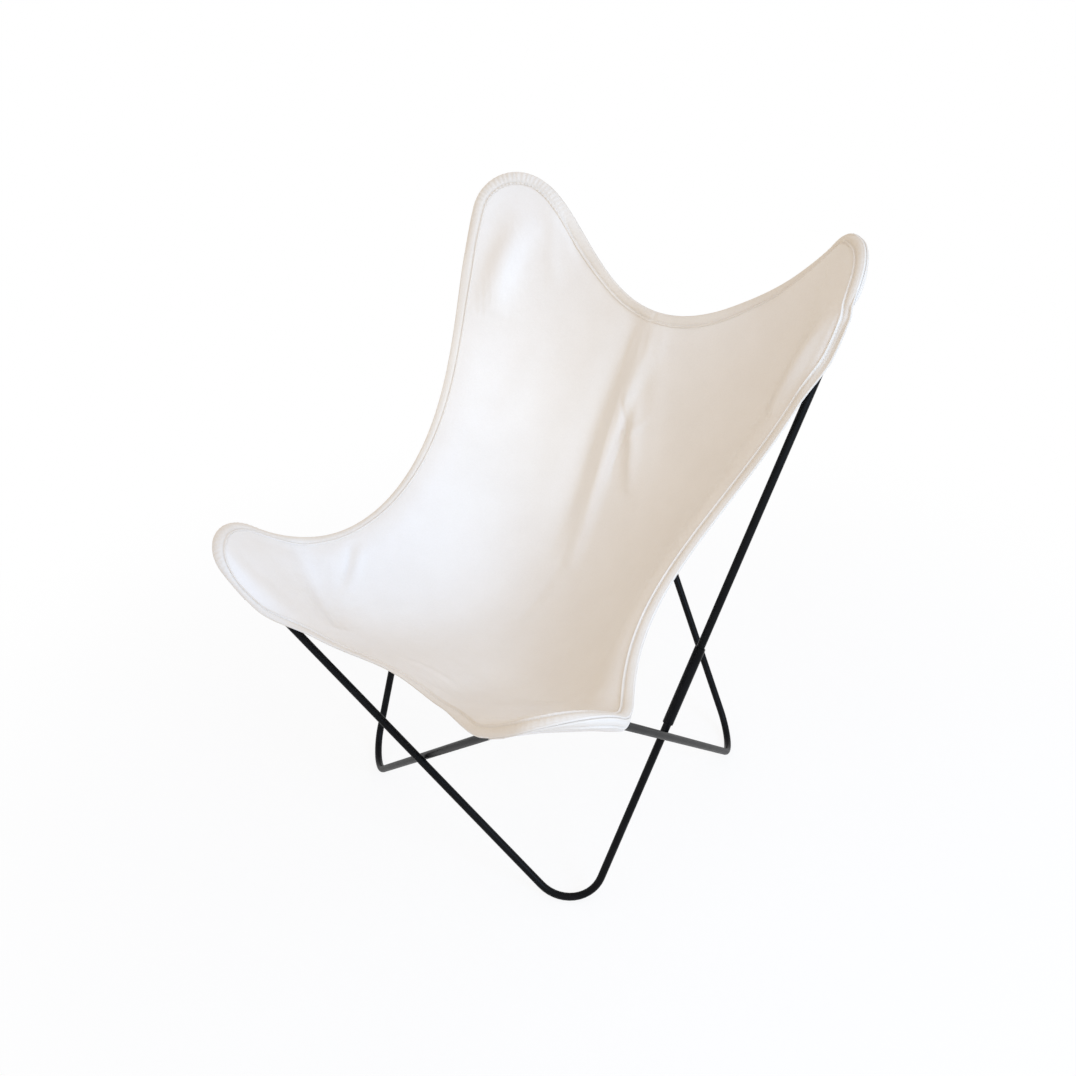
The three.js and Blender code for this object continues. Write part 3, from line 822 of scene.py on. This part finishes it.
POCKET_BAND_ROOM = 0.9  # share of a pocket's depth that its tape may take
POCKET_BAND_ENDS = (-1, 16)  # stations at a pocket's ends over which its tape rises
POCKET_BAND_BACK = (3.0, 11.0, BAND_WIDTH)  # places of the tape's underside, from the edge
POCKET_BAND_SINK = 0.3


def on_row(distance, length, row, normals):
    """The point at a distance along a row of points, and the normal there."""
    return interpolate(distance, length, row), unit(interpolate(distance, length, normals))


def pocket_band(tip, points, picks):
    """The tape on a pocket's outside along its seam, and the line that its stitches follow."""
    half = POCKET_CANVAS / 2
    section, stitch = [], []
    for i, (row, normals, station) in enumerate(zip(points, pocket_outward(points, TIPS[tip]), picks)):
        length = arc_lengths(row)
        width = min(BAND_WIDTH, POCKET_BAND_ROOM * length[-1])
        lift = BAND_LIFT * smooth(min(i, len(points) - 1 - i), *POCKET_BAND_ENDS)
        ring = []
        for distance, height in BAND_SECTION:
            place, normal = on_row(distance * width / BAND_WIDTH, length, row, normals)
            ring.append(place + normal * (half + height * lift))
            if distance == GROOVE and i % 2 == 0:
                stitch.append((place + normal * (half + height * lift + STITCH_LIFT), normal))
        ring.append(RIM[station] - RIM_IN[station] * BAND_PAST_EDGE)
        for distance in POCKET_BAND_BACK:
            place, normal = on_row(distance * width / BAND_WIDTH, length, row, normals)
            ring.append(place + normal * (half - POCKET_BAND_SINK))
        ring.append(ring[0])
        section.append(ring)
    section = np.array(section)
    rows, columns = section.shape[:2]
    ends = [tuple(range(columns - 1)), tuple((rows - 1) * columns + k for k in range(columns - 1))]
    corners, faces = grid_mesh(section)
    return (corners, faces + ends), stitch


# Materials
def new_material(name):
    material = bpy.data.materials.new(name)
    material.use_nodes = True
    nodes = material.node_tree.nodes
    nodes.clear()
    output = nodes.new("ShaderNodeOutputMaterial")
    shader = nodes.new("ShaderNodeBsdfPrincipled")
    material.node_tree.links.new(shader.outputs["BSDF"], output.inputs["Surface"])
    return material, nodes, material.node_tree.links, shader


def set_inputs(node, values):
    for name, value in values.items():
        node.inputs[name].default_value = value


def noise(nodes, links, coordinates, scale, detail, roughness=0.5):
    node = nodes.new("ShaderNodeTexNoise")
    set_inputs(node, {"Scale": scale, "Detail": detail, "Roughness": roughness})
    links.new(coordinates, node.inputs["Vector"])
    return node.outputs["Fac"]


def ramp(nodes, links, value, stops):
    node = nodes.new("ShaderNodeValToRGB")
    elements = node.color_ramp.elements
    while len(elements) < len(stops):
        elements.new(0.5)
    for element, (position, colour) in zip(elements, stops):
        element.position = position
        element.color = (*colour, 1.0)
    links.new(value, node.inputs["Fac"])
    return node.outputs["Color"]


def map_range(nodes, links, value, low, high):
    node = nodes.new("ShaderNodeMapRange")
    set_inputs(node, {"To Min": low, "To Max": high})
    links.new(value, node.inputs["Value"])
    return node.outputs["Result"]


def calculate(nodes, links, operation, *values):
    node = nodes.new("ShaderNodeMath")
    node.operation = operation
    for socket, value in zip(node.inputs, values):
        if isinstance(value, (int, float)):
            socket.default_value = value
        else:
            links.new(value, socket)
    return node.outputs["Value"]


def bump(nodes, links, height, distance, strength, before=None):
    node = nodes.new("ShaderNodeBump")
    set_inputs(node, {"Distance": distance, "Strength": strength})
    links.new(height, node.inputs["Height"])
    if before is not None:
        links.new(before, node.inputs["Normal"])
    return node.outputs["Normal"]


def weave(nodes, links, coordinates, pitch):
    """A plain weave: warp and weft threads that pass over each other in turn."""
    parts = nodes.new("ShaderNodeSeparateXYZ")
    links.new(coordinates, parts.inputs["Vector"])
    waves = []
    for k in (0, 1):
        turns = calculate(nodes, links, "MULTIPLY", parts.outputs[k], 2 * np.pi / pitch)
        waves.append(calculate(nodes, links, "SINE", turns))
    return calculate(nodes, links, "MULTIPLY", *waves)


# Canvas, tape and thread. A noise has a scale, a detail and a roughness. A bump has a depth in metres and a
# strength.
CANVAS_PALE = (0.86, 0.795, 0.70)
CANVAS_DEEP = (0.81, 0.74, 0.64)
TAPE_PALE = (0.83, 0.757, 0.648)
TAPE_DEEP = (0.765, 0.685, 0.572)
THREAD_PALE = (0.82, 0.79, 0.73)
THREAD_DEEP = (0.72, 0.68, 0.61)
DEEP_AT, PALE_AT = 0.3, 0.66  # of the mottle and slub together
MOTTLE = (9.0, 5.0, 0.6)
MOTTLE_SHARE = 0.65
SLUB = (420.0, 2.0, 0.5)
SLUB_SHARE = 0.35
SLUB_ROUGHNESS = 0.07
SLUB_BUMP = (0.0006, 0.18)
WRINKLES = (24.0, 3.0, 0.55)
WRINKLE_BUMP = (0.004, 0.22)
WEAVE_PITCH = 0.0013  # in metres
WEAVE_BUMP = (0.00012, 0.35)
CANVAS_SPECULAR = 0.5
SHEEN = 0.12
SHEEN_ROUGHNESS = 0.4


def canvas_material(name, pale, deep, roughness, by_uv):
    material, nodes, links, shader = new_material(name)
    place = nodes.new("ShaderNodeTexCoord")
    threads = weave(nodes, links, place.outputs["UV" if by_uv else "Object"], WEAVE_PITCH)
    mottle = noise(nodes, links, place.outputs["Object"], *MOTTLE)
    slub = noise(nodes, links, place.outputs["Object"], *SLUB)
    mottled = calculate(nodes, links, "MULTIPLY", mottle, MOTTLE_SHARE)
    blend = calculate(nodes, links, "MULTIPLY_ADD", slub, SLUB_SHARE, mottled)
    colour = ramp(nodes, links, blend, [(DEEP_AT, deep), (PALE_AT, pale)])
    links.new(colour, shader.inputs["Base Color"])
    rough = map_range(nodes, links, slub, roughness - SLUB_ROUGHNESS, roughness + SLUB_ROUGHNESS)
    links.new(rough, shader.inputs["Roughness"])
    wrinkles = noise(nodes, links, place.outputs["Object"], *WRINKLES)
    normal = bump(nodes, links, wrinkles, *WRINKLE_BUMP)
    normal = bump(nodes, links, slub, *SLUB_BUMP, normal)
    normal = bump(nodes, links, threads, *WEAVE_BUMP, normal)
    links.new(normal, shader.inputs["Normal"])
    set_inputs(shader, {"Specular IOR Level": CANVAS_SPECULAR})
    set_inputs(shader, {"Sheen Weight": SHEEN, "Sheen Roughness": SHEEN_ROUGHNESS})
    return material


# Black powder coat: slightly uneven in colour and gloss, with a fine orange peel
COAT_DEEP = (0.003, 0.003, 0.0032)
COAT_PALE = (0.007, 0.007, 0.0073)
COAT_DEEP_AT, COAT_PALE_AT = 0.3, 0.7
COAT_CLOUD = (30.0, 4.0, 0.6)
COAT_GLOSS_SPREAD = (-0.06, 0.08)  # of its roughness
PEEL_DETAIL = 2.0
PEEL_BUMP = (0.0003, 0.12)
COAT_SPECULAR = 0.08


def black_material(name, roughness, grain):
    material, nodes, links, shader = new_material(name)
    place = nodes.new("ShaderNodeTexCoord").outputs["Object"]
    cloud = noise(nodes, links, place, *COAT_CLOUD)
    peel = noise(nodes, links, place, grain, PEEL_DETAIL)
    colour = ramp(nodes, links, cloud, [(COAT_DEEP_AT, COAT_DEEP), (COAT_PALE_AT, COAT_PALE)])
    links.new(colour, shader.inputs["Base Color"])
    low, high = COAT_GLOSS_SPREAD
    links.new(map_range(nodes, links, cloud, roughness + low, roughness + high), shader.inputs["Roughness"])
    links.new(bump(nodes, links, peel, *PEEL_BUMP), shader.inputs["Normal"])
    set_inputs(shader, {"Specular IOR Level": COAT_SPECULAR})
    return material


canvas = canvas_material("canvas", CANVAS_PALE, CANVAS_DEEP, roughness=0.4, by_uv=True)
pocket_canvas = canvas_material("pocket_canvas", CANVAS_PALE, CANVAS_DEEP, roughness=0.55, by_uv=True)
tape = canvas_material("binding_tape", TAPE_PALE, TAPE_DEEP, roughness=0.55, by_uv=False)
thread = canvas_material("sewing_thread", THREAD_PALE, THREAD_DEEP, roughness=0.6, by_uv=False)
rod_black = black_material("rod_powder_coat", roughness=0.36, grain=1500.0)
sleeve_black = black_material("sleeve_powder_coat", roughness=0.32, grain=1100.0)


# Pieces
BODY = "frame_and_sling"
STITCHED_BELOW = 0.9  # share of the tape shown below


def finish_piece(piece, material):
    piece.data.materials.append(material)
    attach(piece, BODY)


panel = make_panel()
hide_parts("sling_panel")
binding, (upper, upper_normal, lower, under) = make_binding()
ring = [*range(len(upper)), 0]
stitch_parts = [
    capsules(upper[ring], upper_normal[ring]),
    capsules(lower[ring], -upper_normal[ring], under > STITCHED_BELOW),
]
band_parts = []
pockets = {}
for tip in TIPS:
    pockets[tip], pocket_points, pocket_rim = make_pocket(tip)
    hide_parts(f"pocket_{tip}")
    band, line = pocket_band(tip, pocket_points, pocket_rim)
    band_parts.append(band)
    stitch_parts.append(capsules(np.array([p for p, _ in line]), np.array([n for _, n in line])))
pocket_tape = new_piece("pocket_binding", *join_parts(band_parts))
stitching = new_piece("stitching", *join_parts(stitch_parts))

finish_piece(panel, canvas)
finish_piece(binding, tape)
finish_piece(pocket_tape, tape)
finish_piece(stitching, thread)
for pocket in pockets.values():
    finish_piece(pocket, pocket_canvas)


# The rods and sleeves keep their solids, shaded as round
SHARP_ANGLE = 35  # degrees, from which an edge stays sharp
SOLID_WELD = 1e-6


def round_shading():
    """Geometry nodes that weld a solid's faces and smooth all but its sharp edges."""
    group = bpy.data.node_groups.new("round_shading", "GeometryNodeTree")
    group.interface.new_socket("Geometry", in_out="INPUT", socket_type="NodeSocketGeometry")
    group.interface.new_socket("Geometry", in_out="OUTPUT", socket_type="NodeSocketGeometry")
    nodes, links = group.nodes, group.links
    start, end = nodes.new("NodeGroupInput"), nodes.new("NodeGroupOutput")
    bare = nodes.new("GeometryNodeRemoveAttribute")
    bare.inputs["Name"].default_value = "custom_normal"
    merge = nodes.new("GeometryNodeMergeByDistance")
    merge.inputs["Distance"].default_value = SOLID_WELD
    angle = nodes.new("GeometryNodeInputMeshEdgeAngle")
    sharp = nodes.new("FunctionNodeCompare")
    sharp.operation = "GREATER_THAN"
    sharp.inputs["B"].default_value = np.radians(SHARP_ANGLE)
    faces = nodes.new("GeometryNodeSetShadeSmooth")
    edges = nodes.new("GeometryNodeSetShadeSmooth")
    edges.domain = "EDGE"
    edges.inputs["Shade Smooth"].default_value = False
    links.new(start.outputs[0], bare.inputs["Geometry"])
    links.new(bare.outputs["Geometry"], merge.inputs["Geometry"])
    links.new(merge.outputs["Geometry"], faces.inputs["Geometry"])
    links.new(faces.outputs["Geometry"], edges.inputs["Geometry"])
    links.new(angle.outputs["Unsigned Angle"], sharp.inputs["A"])
    links.new(sharp.outputs["Result"], edges.inputs["Selection"])
    links.new(edges.outputs["Geometry"], end.inputs[0])
    return group


shading = round_shading()
for name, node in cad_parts.items():
    if "rod" in name or "sleeve" in name:
        node.data.materials.clear()
        node.data.materials.append(sleeve_black if "sleeve" in name else rod_black)
        node.modifiers.new("round_shading", "NODES").node_group = shading


# Floor and light
def seen_as_background(nodes, links):
    """1 for rays from the camera, and for those that gloss or glass sends on."""
    path = nodes.new("ShaderNodeLightPath")
    seen = path.outputs["Is Camera Ray"]
    for other in ("Is Glossy Ray", "Is Transmission Ray"):
        seen = calculate(nodes, links, "MAXIMUM", seen, path.outputs[other])
    return seen


FLOOR_SIZE = 30.0
FLOOR_PALE = (0.91, 0.91, 0.91)
FLOOR_DEEP = (0.88, 0.88, 0.88)
FLOOR_DEEP_AT, FLOOR_PALE_AT = 0.3, 0.7
FLOOR_GRAIN = (3.0, 4.0, 0.5)
FLOOR_ROUGHNESS = 0.9
FLOOR_SPECULAR = 0.1
# Share of plain white in what the camera sees of the floor: near the chair, and past its shadow
FLOOR_WHITE = (0.88, 1.0)
FLOOR_WHITE_RADII = (0.55, 1.5)


def floor_material():
    material, nodes, links, shader = new_material("pale_floor")
    place = nodes.new("ShaderNodeTexCoord").outputs["Object"]
    grain = noise(nodes, links, place, *FLOOR_GRAIN)
    colour = ramp(nodes, links, grain, [(FLOOR_DEEP_AT, FLOOR_DEEP), (FLOOR_PALE_AT, FLOOR_PALE)])
    links.new(colour, shader.inputs["Base Color"])
    set_inputs(shader, {"Roughness": FLOOR_ROUGHNESS, "Specular IOR Level": FLOOR_SPECULAR})
    length = nodes.new("ShaderNodeVectorMath")
    length.operation = "LENGTH"
    links.new(place, length.inputs[0])
    share = nodes.new("ShaderNodeMapRange")
    share.interpolation_type = "SMOOTHSTEP"
    share.inputs["From Min"].default_value, share.inputs["From Max"].default_value = FLOOR_WHITE_RADII
    share.inputs["To Min"].default_value, share.inputs["To Max"].default_value = FLOOR_WHITE
    links.new(length.outputs["Value"], share.inputs["Value"])
    white = calculate(nodes, links, "MULTIPLY", seen_as_background(nodes, links), share.outputs["Result"])
    glow = nodes.new("ShaderNodeEmission")
    mix = nodes.new("ShaderNodeMixShader")
    links.new(white, mix.inputs["Fac"])
    links.new(shader.outputs["BSDF"], mix.inputs[1])
    links.new(glow.outputs["Emission"], mix.inputs[2])
    links.new(mix.outputs["Shader"], nodes["Material Output"].inputs["Surface"])
    return material


def make_floor():
    mesh = bpy.data.meshes.new("floor")
    half = FLOOR_SIZE / 2
    corners = [(-1, -1), (1, -1), (1, 1), (-1, 1)]
    mesh.from_pydata([(x * half, y * half, 0.0) for x, y in corners], [], [(0, 1, 2, 3)])
    mesh.materials.append(floor_material())
    piece = bpy.data.objects.new("floor", mesh)
    bpy.context.scene.collection.objects.link(piece)
    return piece


floor = make_floor()

# The light from all round is cool on one side, like a window's, and warm on the other
WORLD_COOL = (0.98, 1.05, 1.25)
WORLD_WARM = (0.64, 0.46, 0.19)
WORLD_COOL_SIDE = (0.93, -0.12, 0.34)
WHITE = (1.0, 1.0, 1.0)


def mixed(nodes, links, factor, first, second):
    """A mix of two colours, each given as three numbers or as another node's output."""
    node = nodes.new("ShaderNodeMix")
    node.data_type = "RGBA"
    links.new(factor, node.inputs["Factor"])
    for socket, value in ((node.inputs[6], first), (node.inputs[7], second)):
        if isinstance(value, tuple):
            socket.default_value = (*value, 1.0)
        else:
            links.new(value, socket)
    return node.outputs[2]


def make_world():
    """Light from all round, with plain white in its place for what the camera sees."""
    world = bpy.data.worlds.new("studio")
    bpy.context.scene.world = world
    world.use_nodes = True
    nodes, links = world.node_tree.nodes, world.node_tree.links
    side = nodes.new("ShaderNodeVectorMath")
    side.operation = "DOT_PRODUCT"
    side.inputs[1].default_value = WORLD_COOL_SIDE
    links.new(nodes.new("ShaderNodeTexCoord").outputs["Generated"], side.inputs[0])
    cool_share = calculate(nodes, links, "MULTIPLY_ADD", side.outputs["Value"], 0.5, 0.5)
    light = mixed(nodes, links, cool_share, WORLD_WARM, WORLD_COOL)
    colour = mixed(nodes, links, seen_as_background(nodes, links), light, WHITE)
    links.new(colour, nodes["Background"].inputs["Color"])


make_world()

# Lamps: place and aim in metres, power in watts, and colour
WINDOW_SIZE = 1.0
WINDOW = ((2.7, -0.3, 1.65), (-0.1, 0.1, 0.5), 39.0, (0.42, 0.65, 1.0))
POOL_ANGLE = 12.5
POOL = ((1.9, -1.85, 1.8), (-0.25, 0.165, 0.575), 78.0, (0.84, 0.93, 1.0))
SKY_ANGLE = 17
SKY = ((1.6, -1.6, 1.5), (-0.32, -0.26, 0.42), 47.0, (0.15, 0.45, 1.0))
SPOT_RADIUS = 0.25
SPOT_BLEND = 1.0


def add_lamp(light, place, aim, energy, colour):
    light.energy = energy
    light.color = colour
    lamp = bpy.data.objects.new(light.name, light)
    lamp.location = place
    lamp.rotation_euler = (Vector(aim) - Vector(place)).to_track_quat("-Z", "Y").to_euler()
    bpy.context.scene.collection.objects.link(lamp)


def make_lamps():
    """A window at the right, and two soft spots: a bright one on the back, a blue one on the seat's left."""
    window = bpy.data.lights.new("window", "AREA")
    window.size = WINDOW_SIZE
    add_lamp(window, *WINDOW)
    for name, angle, lamp in (("pool", POOL_ANGLE, POOL), ("sky", SKY_ANGLE, SKY)):
        spot = bpy.data.lights.new(name, "SPOT")
        spot.shadow_soft_size = SPOT_RADIUS
        spot.spot_size = np.radians(angle)
        spot.spot_blend = SPOT_BLEND
        add_lamp(spot, *lamp)


make_lamps()


# Camera
def camera_pose():
    """The camera's axes and place as a matrix, in metres."""
    azimuth, elevation = np.radians(CAMERA_AZIMUTH), np.radians(CAMERA_ELEVATION)
    away = np.array(
        [np.sin(azimuth) * np.cos(elevation), -np.cos(azimuth) * np.cos(elevation), np.sin(elevation)]
    )
    level = np.array([np.cos(azimuth), np.sin(azimuth), 0.0])
    upright = np.cross(away, level)
    roll = np.radians(CAMERA_ROLL)
    pose = np.eye(4)
    pose[:3, 0] = np.cos(roll) * level + np.sin(roll) * upright
    pose[:3, 1] = np.cos(roll) * upright - np.sin(roll) * level
    pose[:3, 2] = away
    pose[:3, 3] = metres(np.array(CAMERA_TARGET) + away * CAMERA_DISTANCE)
    return Matrix(pose.tolist())


def make_camera():
    lens = bpy.data.cameras.new("camera")
    lens.sensor_width = SENSOR_WIDTH
    lens.lens = SENSOR_WIDTH * FOCAL_PX / PHOTO_PX
    lens.shift_x = (PHOTO_PX / 2 - PRINCIPAL_PX[0]) / PHOTO_PX
    lens.shift_y = (PRINCIPAL_PX[1] - PHOTO_PX / 2) / PHOTO_PX
    camera = bpy.data.objects.new("camera", lens)
    camera.matrix_world = camera_pose()
    bpy.context.scene.collection.objects.link(camera)
    bpy.context.scene.camera = camera


make_camera()
bpy.context.scene.view_settings.view_transform = "Standard"
